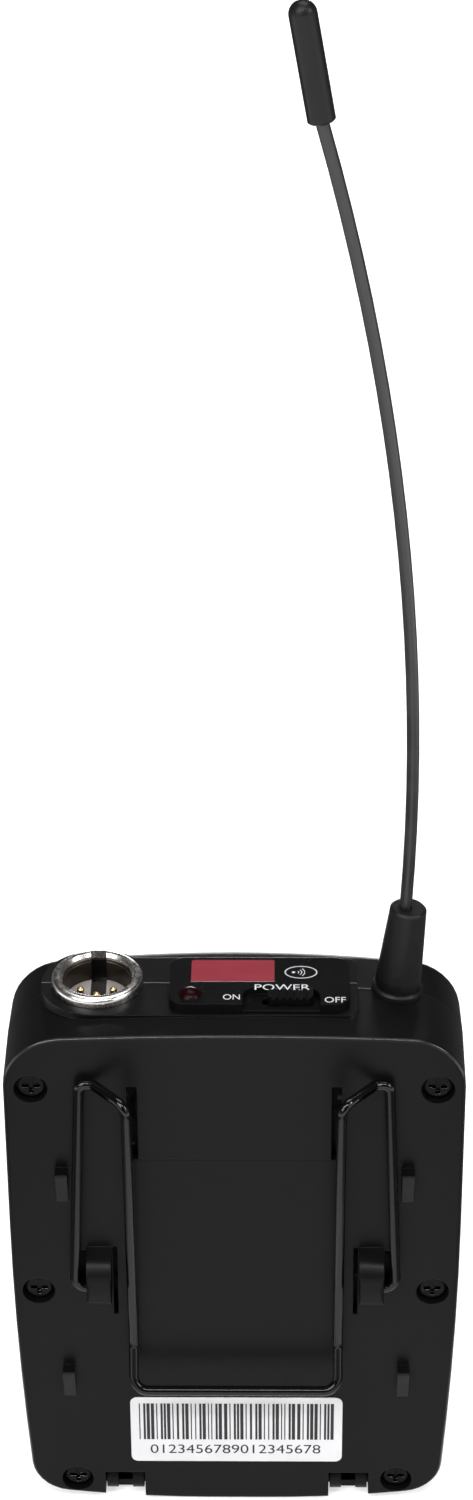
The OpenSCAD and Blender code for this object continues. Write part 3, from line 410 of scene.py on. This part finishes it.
def lamp_dome(name):
    """Dark red translucent lamp dome, unlit."""
    p = Paint(name, Specular_IOR_Level=0.06)
    swirl = p.noise(0.6, 3.0)
    p.set(Base_Color=p.mix(swirl, (0.004, 0.0005, 0.0008), (0.012, 0.0010, 0.0018)),
          Roughness=0.22 + 0.08 * swirl, Normal=p.bump(swirl, 0.004))
    return p.material


def circuit_board(name, plane):
    """Solder mask painted near black as the shade seen through the case's slots, over etched tracks, the sine
    of one axis of the plane plus a step of the other, with small dull pads."""
    p = Paint(name, Specular_IOR_Level=0.08)
    a, b = (p.axis(c) for c in plane)
    step = p.band(p.noise(6.0, 0.0), 0.45, 0.55)
    tracks = ((a + step * b) * 5.2).sine() > 0.55
    pads = p.cells(2.6) < 0.16
    # Painted shade: the mask is near black so that the board seen through the case's slots reads as their
    # shade.
    mask = p.mix(tracks, (0.0010, 0.0014, 0.0012), (0.0018, 0.0026, 0.0021))
    p.set(Base_Color=p.mix(pads, mask, (0.05, 0.048, 0.043)), Metallic=pads * 0.9,
          Roughness=0.5 - 0.08 * tracks + 0.1 * p.noise(1.0),
          Normal=p.bump(tracks * 0.7 + pads, 0.02, p.round_edges(0.06)))
    return p.material


def cell_wrap(name):
    """Plain printed shrink wrap of a battery cell: dark body and copper-coloured band at the button end, which
    is up on the cell at -X and down on the cell at +X."""
    button_low, button_high, copper_long = 10.0, 58.0, 15.0
    p = Paint(name, Specular_IOR_Level=0.5, Coat_Weight=0.4, Coat_Roughness=0.12)
    z, x = p.axis("Z"), p.axis("X")
    right = x > 0.0
    from_button = right * (z - button_low) + (1 - right) * (button_high - z)
    copper = from_button < copper_long
    wrinkle = p.noise(0.9, 3.0, (1, 1, 0.3))
    base = p.mix(copper, (0.02, 0.022, 0.028), (0.42, 0.20, 0.08))
    p.set(Base_Color=p.mix(p.band(wrinkle, 0.6, 0.8) * 0.3, base, (0.2, 0.2, 0.2)),
          Metallic=0.3 + 0.5 * copper, Roughness=0.28 + 0.12 * wrinkle,
          Normal=p.bump(wrinkle, 0.01, p.round_edges(0.15)))
    return p.material


SOCKET, SOCKET_BORE, SOCKET_MOUTH, KEY_HALF = (-18.5, 1.5), 4.9, 82.9, 1.05
BACK_SEAM = (61.35, 0.16, 13.2)
BLACK = (0.0030, 0.0030, 0.0034)
finish = {
    "rear_shell": moulded("case_rear_plastic", BLACK, seam=BACK_SEAM),
    "front_shell": moulded("case_front_plastic", BLACK),
    "battery_door": moulded("battery_door_plastic", (0.0032, 0.0032, 0.0036), grain=0.11),
    "case_screws": metal("blackened_screw_steel", (0.011, 0.011, 0.011), 0.18, edge=0.14, tarnish=0.3,
                         rubbed=(0.16, 0.155, 0.15)),
    "rear_label": foil_label("label_foil"),
    "belt_clip_arms": glossy_wire("clip_wire_coat"),
    "belt_clip_loop": glossy_wire("clip_loop_coat"),
    "control_plate": moulded("control_plate_plastic", (0.0032, 0.0032, 0.0036), 0.24, edge=0.12),
    "display_window": red_lens("display_lens"),
    "display_module": moulded("display_frame_plastic", (0.10, 0.11, 0.10), 0.5),
    "status_led": lamp_dome("lamp_dome"),
    "switch_knob": moulded("switch_knob_plastic", (0.002, 0.002, 0.0023), 0.32, edge=0.1,
                           specular=0.08),
    "switch_body": moulded("switch_body_plastic", (0.01, 0.01, 0.011), 0.5),
    "top_board": circuit_board("top_board_mask", "XY"),
    "socket_shell": turned("socket_nickel", (0.72, 0.69, 0.66), SOCKET, SOCKET_BORE, SOCKET_MOUTH),
    "socket_insert": insulator("socket_insulator", SOCKET, KEY_HALF),
    "socket_pins": metal("contact_gold", (0.75, 0.52, 0.26), 0.2, edge=0.05),
    "socket_nut": metal("nut_plating", (0.55, 0.55, 0.54), 0.3),
    "antenna_boot": rubber("antenna_boot_rubber", rings=4.0),
    "antenna_whip": cable_coat("whip_coat"),
    "antenna_tip": rubber("antenna_tip_rubber", rough=0.36),
    "antenna_terminal": metal("terminal_brass", (0.7, 0.5, 0.24), 0.3),
    "main_board": circuit_board("main_board_mask", "XZ"),
    "board_screws": metal("board_screw_steel", (0.5, 0.5, 0.5), 0.3),
    "board_chips": moulded("chip_moulding", (0.02, 0.02, 0.022), 0.5, edge=0.06),
    "rf_shield": metal("shield_tinplate", (0.6, 0.6, 0.6), 0.32, tarnish=0.3, mark_size=0.6),
    "battery_tray": moulded("battery_tray_plastic", (0.01, 0.01, 0.011), 0.45),
    "battery_contacts": metal("contact_nickel", (0.62, 0.61, 0.58), 0.26),
    "battery_springs": metal("spring_nickel", (0.62, 0.61, 0.58), 0.22),
    "battery_cells": cell_wrap("cell_wrap"),
}

# ---------------------------------------------------------------- pieces

body_of_node = {n: b for b, ns in frame["record"]["behaviour"]["bodies"].items() for n in ns}
for name, material in finish.items():
    mesh = frame["nodes"][name].data
    mesh.materials.clear()
    mesh.materials.append(material)
    for face in mesh.polygons:
        face.material_index = 0


def add_piece(name, verts, faces, material, body, smooth=True):
    """A mesh object from arrays of corners and faces, riding on a body."""
    mesh = bpy.data.meshes.new(name)
    mesh.from_pydata([tuple(v) for v in np.asarray(verts, float).tolist()], [], [tuple(f) for f in faces])
    mesh.validate()
    mesh.polygons.foreach_set("use_smooth", [smooth] * len(mesh.polygons))
    mesh.materials.append(material)
    piece = bpy.data.objects.new(name, mesh)
    bpy.context.scene.collection.objects.link(piece)
    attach(piece, body)
    return piece


def flat_regions(bm, tilt=0.3):
    """The flat region that each face belongs to and that region's area: faces are joined while their normals
    differ by less than tilt degrees."""
    parent = list(range(len(bm.faces)))

    def root(i):
        """The face that stands for the region of face i."""
        while parent[i] != i:
            parent[i] = parent[parent[i]]
            i = parent[i]
        return i

    for e in bm.edges:
        if len(e.link_faces) == 2:
            a, b = e.link_faces
            if a.normal.angle(b.normal, math.pi) < math.radians(tilt):
                parent[root(a.index)] = root(b.index)
    roots = np.array([root(i) for i in range(len(parent))])
    sizes = np.bincount(roots, [f.calc_area() for f in bm.faces], len(parent))
    return roots, sizes[roots]


def skin(node, sharp=28, plain=60.0):
    """The node's own surface with its doubles merged, in place of the node: curves shade smooth, edges over
    sharp degrees and the borders of flats over plain square millimetres stay crisp."""
    source = frame["nodes"][node]
    bm = bmesh.new()
    bm.from_mesh(source.data)
    bmesh.ops.remove_doubles(bm, verts=bm.verts, dist=2e-7)
    bmesh.ops.dissolve_degenerate(bm, edges=bm.edges, dist=1e-7)
    bm.faces.ensure_lookup_table()
    bm.faces.index_update()
    roots, sizes = flat_regions(bm)
    for e in bm.edges:
        if len(e.link_faces) == 2:
            a, b = e.link_faces
            bend = a.normal.angle(b.normal, math.pi)
            border = roots[a.index] != roots[b.index] and \
                max(sizes[a.index], sizes[b.index]) > plain * MM * MM
            e.smooth = not (bend > math.radians(sharp) or border)
    mesh = bpy.data.meshes.new("skin_" + node)
    bm.to_mesh(mesh)
    bm.free()
    mesh.polygons.foreach_set("use_smooth", [True] * len(mesh.polygons))
    mesh.materials.clear()
    mesh.materials.append(finish[node])
    piece = bpy.data.objects.new("skin_" + node, mesh)
    bpy.context.scene.collection.objects.link(piece)
    flats = piece.modifiers.new("flat_faces", "WEIGHTED_NORMAL")
    flats.keep_sharp, flats.weight = True, 100
    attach(piece, body_of_node[node])
    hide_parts(node)
    return piece


SKINNED = ["rear_shell", "front_shell", "battery_door", "case_screws", "control_plate", "display_window",
           "status_led", "switch_knob", "socket_shell", "socket_insert", "socket_pins", "antenna_boot",
           "antenna_whip", "antenna_tip", "rear_label", "battery_cells", "battery_tray", "board_screws",
           "socket_nut", "antenna_terminal", "battery_springs"]
skins = {node: skin(node) for node in SKINNED}


def rounded_route(corners, radii, steps=14):
    """Points along straight runs whose corners are rounded by arcs: each arc lies in its corner's plane, its
    centre on the bisector at radius over the sine of half the corner's angle, and it goes from one tangent
    point to the other by weights that are sines of parts of its swing."""
    corners = np.asarray(corners, float)
    out = [corners[:1]]
    for a, b, c, r in zip(corners[:-2], corners[1:-1], corners[2:], radii):
        u, w = (a - b) / np.linalg.norm(a - b), (c - b) / np.linalg.norm(c - b)
        half = math.acos(float(np.clip(u @ w, -1, 1))) / 2
        mid = b + (u + w) / np.linalg.norm(u + w) * r / math.sin(half)
        start, end = b + u * r / math.tan(half) - mid, b + w * r / math.tan(half) - mid
        swing = math.pi - 2 * half
        t = np.linspace(0, 1, steps + 1)[:, None]
        out.append(mid + (np.sin(swing * (1 - t)) * start + np.sin(swing * t) * end) / math.sin(swing))
    return np.vstack(out + [corners[-1:]])


def sweep(name, path, radius, material, body):
    """Round bar along a path: circle points radius * (cos a * n + sin a * b), where n and b are carried along
    the path without twist. Each end closes through two smaller rings, dome times the radius out, to a pole."""
    sides, dome, ring_steps, pole, off_axis = 28, 0.25, ((0.6, 0.88), (1.0, 0.62)), 1.15, (0.31, 0.52, 0.79)
    path = np.asarray(path, float)
    heading = np.gradient(path, axis=0)
    heading /= np.linalg.norm(heading, axis=1)[:, None]
    n = np.cross(heading[0], off_axis)
    normals = []
    for t in heading:
        n = n - (n @ t) * t
        n = n / np.linalg.norm(n)
        normals.append(n)
    normals = np.array(normals)
    sideways = np.cross(heading, normals)
    a = np.linspace(0, 2 * math.pi, sides, endpoint=False)
    circle = np.cos(a)[None, :, None] * normals[:, None] + np.sin(a)[None, :, None] * sideways[:, None]
    out_low, out_high = -heading[0] * dome * radius, heading[-1] * dome * radius
    first = [path[0] + out_low * s + radius * c * circle[0] for s, c in ring_steps[::-1]]
    last = [path[-1] + out_high * s + radius * c * circle[-1] for s, c in ring_steps]
    rings = np.concatenate([np.array(first), path[:, None] + radius * circle, np.array(last)])
    rows = len(rings)
    i, j = np.meshgrid(np.arange(rows - 1), np.arange(sides), indexing="ij")
    k = (j + 1) % sides
    quads = np.stack([i * sides + j, i * sides + k, (i + 1) * sides + k, (i + 1) * sides + j], -1)
    verts = np.vstack([rings.reshape(-1, 3), path[0] + pole * out_low, path[-1] + pole * out_high])
    low, high = len(verts) - 2, len(verts) - 1
    ring = np.arange(sides)
    caps = [(low, (r + 1) % sides, r) for r in ring.tolist()]
    caps += [(high, (rows - 1) * sides + r, (rows - 1) * sides + (r + 1) % sides) for r in ring.tolist()]
    return add_piece(name, verts, quads.reshape(-1, 4).tolist() + caps, material, body)


# The belt clip's wire as the source has it: corners at x, distance off the back and z, bends and radius, in
# millimetres. The loop is a hair thinner than the arms, so that the two don't share a surface where they meet.
BACK, WIRE_R, HAIR = -10.5, 0.7, 0.004
ARM, ARM_BENDS = [(17.4, 2.6, 41.6), (22.0, 2.6, 41.6), (20.6, 1.0, 74.9), (19.0, 1.0, 74.9)], [1.8, 0.8]
HALF_LOOP = [(19.2, 1.0, 74.9), (18.75, 1.0, 74.9), (14.2, 6.0, 74.9), (14.2, 1.0, 30.3), (14.2, 4.0, 24.2)]
HALF_BENDS = [0.6, 1.6, 2.5, 2.0]
arm, half_loop = (np.array([(x, BACK - gap, z) for x, gap, z in route]) for route in (ARM, HALF_LOOP))
same, mirror = np.array([1, 1, 1]), np.array([-1, 1, 1])
arm_path = rounded_route(arm, ARM_BENDS)
for side, way in (("right", same), ("left", mirror)):
    piece = sweep("clip_arm_" + side, arm_path * way * MM, WIRE_R * MM, finish["belt_clip_arms"], case)
    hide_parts("belt_clip_arms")
loop_path = rounded_route(np.vstack([half_loop, (half_loop * mirror)[::-1]]), HALF_BENDS + HALF_BENDS[::-1])
piece = sweep("clip_loop", loop_path * MM, (WIRE_R - HAIR) * MM, finish["belt_clip_loop"], loop)
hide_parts("belt_clip_loop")


def tree_of(*objects):
    """One BVH tree of the objects' finished meshes."""
    verts, faces = [], []
    for o in objects:
        base = len(verts)
        verts += [tuple(v.co) for v in o.data.vertices]
        faces += [tuple(base + i for i in f.vertices) for f in o.data.polygons]
    return BVHTree.FromPolygons(verts, faces)


def slabs(spans, low, high, thick, origin, right, rise, out):
    """Thin closed boxes side by side: each goes from its span's start to its end along right and from low to
    high along rise, and stands thick off the surface along out."""
    spans = np.asarray(spans, float)
    corner = np.array([[0, 0, 0], [1, 0, 0], [1, 1, 0], [0, 1, 0],
                       [0, 0, 1], [1, 0, 1], [1, 1, 1], [0, 1, 1]], float)
    u = spans[:, :1] + (spans[:, 1:] - spans[:, :1]) * corner[None, :, 0]
    v = np.broadcast_to(low + (high - low) * corner[None, :, 1], u.shape)
    w = np.broadcast_to(thick * corner[None, :, 2], u.shape)
    verts = origin + u[..., None] * right + v[..., None] * rise + w[..., None] * out
    box = np.array([[0, 3, 2, 1], [4, 5, 6, 7], [0, 1, 5, 4], [1, 2, 6, 5], [2, 3, 7, 6], [3, 0, 4, 7]])
    faces = (box[None] + 8 * np.arange(len(spans))[:, None, None]).reshape(-1, 4)
    return verts.reshape(-1, 3), faces.tolist()


CLEAR = 0.012 * MM  # how far flat printing stands off its surface


def lettering(name, words, tall, wide, origin, right, rise, out, material):
    """Flat words on the case, tall and wide over all in millimetres, with their middle at origin, laid along
    right and rise: the corners of the font's outlines, stretched to that height and width."""
    resolution = 6
    curve = bpy.data.curves.new(name, "FONT")
    curve.body, curve.align_x, curve.align_y = words, "CENTER", "CENTER"
    curve.resolution_u = resolution
    words_object = bpy.data.objects.new(name + "_curve", curve)
    bpy.context.scene.collection.objects.link(words_object)
    bpy.context.view_layer.update()
    flat = bpy.data.meshes.new_from_object(words_object.evaluated_get(bpy.context.evaluated_depsgraph_get()))
    bpy.data.objects.remove(words_object)
    co = np.array([v.co for v in flat.vertices], float)
    low, high = co.min(0), co.max(0)
    co -= (low + high) / 2
    u, v = co[:, :1] * (wide * MM / (high[0] - low[0])), co[:, 1:2] * (tall * MM / (high[1] - low[1]))
    verts = origin + u * right + v * rise + CLEAR * out
    faces = [tuple(f.vertices) for f in flat.polygons]
    return add_piece(name, verts, faces, material, case, smooth=False)


X, Y, Z = np.eye(3)
white_ink = ink("white_ink", (0.46, 0.46, 0.47))
black_ink = ink("black_ink", (0.02, 0.02, 0.022))
label_tree = tree_of(skins["rear_label"])
plate_tree = tree_of(skins["control_plate"])

# Generic bars and gaps of one to three modules by a golden-ratio rule, centred on the label, in millimetres
BARS_WIDE, BARS_HALF_TALL, INK_THICK, BAR_EDGES, GOLDEN = 28.2, 3.36, 0.02, 93, 0.6180339887
modules = 1 + np.floor(3 * np.modf(np.arange(1, BAR_EDGES + 1) * GOLDEN)[0])
ends = np.cumsum(modules)
ends = (ends / ends[-1] - 0.5) * BARS_WIDE * MM
bars = np.stack([ends[0:-1:2], ends[1::2]], -1)
at, _ = place(*IMAGE["label_bars"], label_tree)
at[0] = 0.0
verts, faces = slabs(bars, -BARS_HALF_TALL * MM, BARS_HALF_TALL * MM, INK_THICK * MM, at, X, Z, -Y)
bars_piece = add_piece("label_bars", verts, faces, black_ink, case, smooth=False)
at, _ = place(*IMAGE["label_digits"], label_tree)
digits = lettering("label_digits", "0123456789012345678", 1.65, 24.2, at, X, Z, -Y, black_ink)


def sign(name, words, tall, wide):
    """White words printed on the control plate at their image point."""
    spot, _ = place(*IMAGE[name], plate_tree)
    return lettering(name, words, tall, wide, spot, X, Y, Z, white_ink)


signs = {
    "word_on": sign("word_on", "ON", 1.2, 2.25),
    "word_off": sign("word_off", "OFF", 1.25, 2.8),
    "word_power": sign("word_power", "POWER", 1.3, 7.4),
}


def oval_sign(name, half_wide, half_deep, line):
    """Generic infrared sign, in millimetres: an oval ring, where radius goes with the angle's cosine and sine,
    and three short arcs of growing radius that spread from a dot."""
    full, arcs, spread, arcs_at, dot, dot_at = (360, 0), (0.45, 0.85, 1.25), (45, -45), -0.7, 0.22, -1.0
    spot, _ = place(*IMAGE[name], plate_tree)
    spot = spot + CLEAR * Z
    verts, faces = [], []

    def curve(rx, ry, angles, at, n):
        """Points on an ellipse between two angles, its middle at along X from the sign's."""
        a = np.radians(np.linspace(*angles, n))
        return spot + (at + rx * np.cos(a))[:, None] * MM * X + (ry * np.sin(a))[:, None] * MM * Y

    def ribbon(inner, outer):
        """Flat faces between two curves of equally many points."""
        base, n = len(verts), len(inner)
        verts.extend(inner.tolist() + outer.tolist())
        faces.extend((base + i, base + n + i, base + n + i + 1, base + i + 1) for i in range(n - 1))

    ribbon(curve(half_wide - line, half_deep - line, full, 0.0, 72), curve(half_wide, half_deep, full, 0.0, 72))
    for r in arcs:
        inner = r - line * 0.7
        ribbon(curve(inner, inner, spread, arcs_at, 12), curve(r, r, spread, arcs_at, 12))
    ribbon(curve(0.001, 0.001, full, dot_at, 20), curve(dot, dot, full, dot_at, 20))
    return add_piece(name, verts, faces, white_ink, case, smooth=False)


signs["infrared_sign"] = oval_sign("infrared_sign", 2.2, 1.45, 0.15)

# ---------------------------------------------------------------- floor, world and lamps

REACH, BELOW = 4.0, 0.02 * MM
low = cad_box[0][2] - BELOW
floor_mesh = bpy.data.meshes.new("floor")
floor_corners = [(-REACH, -REACH, low), (REACH, -REACH, low), (REACH, REACH, low), (-REACH, REACH, low)]
floor_mesh.from_pydata(floor_corners, [], [(0, 1, 2, 3)])
floor = bpy.data.objects.new("floor", floor_mesh)
bpy.context.scene.collection.objects.link(floor)

# The camera sees the floor grey near the object and white far off. Mirrored in the object it is dark at the
# sides and past the front's corners, so that black edges stay black, and bright elsewhere.
ground = Paint("pale_floor", Specular_IOR_Level=0.0, Roughness=0.9, Emission_Strength=1.0)
paper = ground.noise(40.0, 2.0)
x, y = ground.axis("X"), ground.axis("Y")
away, sideways = (x * x + y * y) ** 0.5, (x * x) ** 0.5
far = ground.band(away, 250.0, 900.0)
corner = ground.band(y, 50.0, 130.0) * ground.band(sideways, 40.0, 90.0)
clear = ground.band(away, 170.0, 300.0) * (1 - 0.85 * ground.band(y, 350.0, 800.0)) * (1 - corner)
aside = ground.band(sideways, 28.0, 75.0) * (1 - clear)
dim = (corner + aside).at_most(1.0)
seen = ground.node("ShaderNodeLightPath", out="Is Camera Ray")
mirrored = ground.node("ShaderNodeLightPath", out="Is Glossy Ray")
sheet = ground.mix(paper, grey(0.54), grey(0.56))
shine = ground.mix(mirrored * (0.4 - 0.36 * aside + 0.6 * clear), grey(0.0), grey(1.3))
ground.set(Base_Color=ground.mix(mirrored * dim, sheet, grey(0.06)),
           Emission_Color=ground.mix(seen, shine, ground.mix(far, grey(0.6), grey(1.0))))
floor_mesh.materials.append(ground.material)
floor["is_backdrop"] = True

# The camera sees a white world, also through clear parts. Mirrored in the object it is white low down, dark
# overhead and darker past the front, and it lights the rest as a soft grey sky.
world = bpy.data.worlds.new("studio")
bpy.context.scene.world = world
world.use_nodes = True
world.node_tree.nodes.clear()
air = Tree(world.node_tree)
sky = air.tree.nodes.new("ShaderNodeBackground")
air.tree.links.new(sky.outputs[0], air.tree.nodes.new("ShaderNodeOutputWorld").inputs["Surface"])
aim = air.node("ShaderNodeTexCoord", out="Generated")
height = air.node("ShaderNodeSeparateXYZ", {}, [aim], "XYZ".index("Z"))
past_front = air.band(air.node("ShaderNodeSeparateXYZ", {}, [aim], "XYZ".index("Y")), 0.1, 0.7)
shown = air.node("ShaderNodeLightPath", out="Is Camera Ray")
shown = shown + air.node("ShaderNodeLightPath", out="Is Transmission Ray")
glossy = air.node("ShaderNodeLightPath", out="Is Glossy Ray")
soft = air.mix(air.band(height, -0.1, 0.6), (0.45, 0.45, 0.46), (0.24, 0.24, 0.25))
in_gloss = air.mix(air.band(height, 0.0, 0.28), grey(1.0), (0.06, 0.06, 0.065))
in_gloss = air.mix(past_front * 0.85, in_gloss, grey(0.02))
air.feed(sky.inputs["Color"], air.mix(shown.at_most(1.0), air.mix(glossy, soft, in_gloss), grey(1.0)))
sky.inputs["Strength"].default_value = 1.0


def lamp(name, where, wide, tall, power):
    """Softbox of a width and height in metres and a power in watts, aimed at the middle of the case."""
    middle = (0.0, 0.0, 0.05)
    data = bpy.data.lights.new(name, "AREA")
    data.shape, data.size, data.size_y, data.energy = "RECTANGLE", wide, tall, power
    light = bpy.data.objects.new(name, data)
    light.location = where
    light.rotation_euler = (Vector(middle) - Vector(where)).to_track_quat("-Z", "Y").to_euler()
    bpy.context.scene.collection.objects.link(light)


lamp("key_softbox", (-0.9, -1.1, 1.3), 1.1, 1.1, 26)
lamp("fill_softbox", (1.2, -0.7, 0.9), 0.9, 0.9, 6)
lamp("top_softbox", (0.1, 0.5, 1.6), 1.2, 0.7, 14)
lamp("edge_strip", (0.0, -0.80, 1.40), 1.1, 0.12, 12)
lamp("corner_strip", (1.25, -0.42, 1.0), 0.12, 0.6, 6)
lamp("front_fill", (0.0, 1.6, 0.12), 0.5, 0.4, 8)

scene = bpy.context.scene
scene.view_settings.view_transform = "Standard"

# ---------------------------------------------------------------- where the image points show

bpy.context.view_layer.update()
shown_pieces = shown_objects()
whole = tree_of(*shown_pieces)


def finished(o):
    """The corners of an object's mesh."""
    co = np.empty(len(o.data.vertices) * 3, np.float32)
    o.data.vertices.foreach_get("co", co)
    return co.reshape(-1, 3).astype(float)


def in_view(points, most=1500):
    """Those of the points that nothing hides from the eye."""
    step = max(1, len(points) // most)
    keep = []
    for p in points[::step]:
        ray = EYE - p
        far = np.linalg.norm(ray)
        hit = whole.ray_cast(Vector(p + ray / far * 0.00008), Vector(ray / far), far)
        if hit[0] is None:
            keep.append(p)
    return np.array(keep).reshape(-1, 3)


every = shot(np.vstack([finished(o) for o in shown_pieces]))
edges = {"left": every[:, 0].min(), "right": every[:, 0].max(),
         "top": every[:, 1].min(), "bottom": every[:, 1].max()}
report = {name: round(float(value) - IMAGE[name], 1) for name, value in edges.items()}
pieces_by_name = {**skins, **signs, "label_bars": bars_piece, "label_digits": digits}
for name, point in IMAGE.items():
    if name in edges:
        continue
    seen = in_view(finished(pieces_by_name[name]))
    if len(seen):
        px = shot(seen)
        mid = (px.min(0) + px.max(0)) / 2
        report[name] = [round(float(mid[0] - point[0]), 1), round(float(mid[1] - point[1]), 1)]
    else:
        report[name] = "hidden"
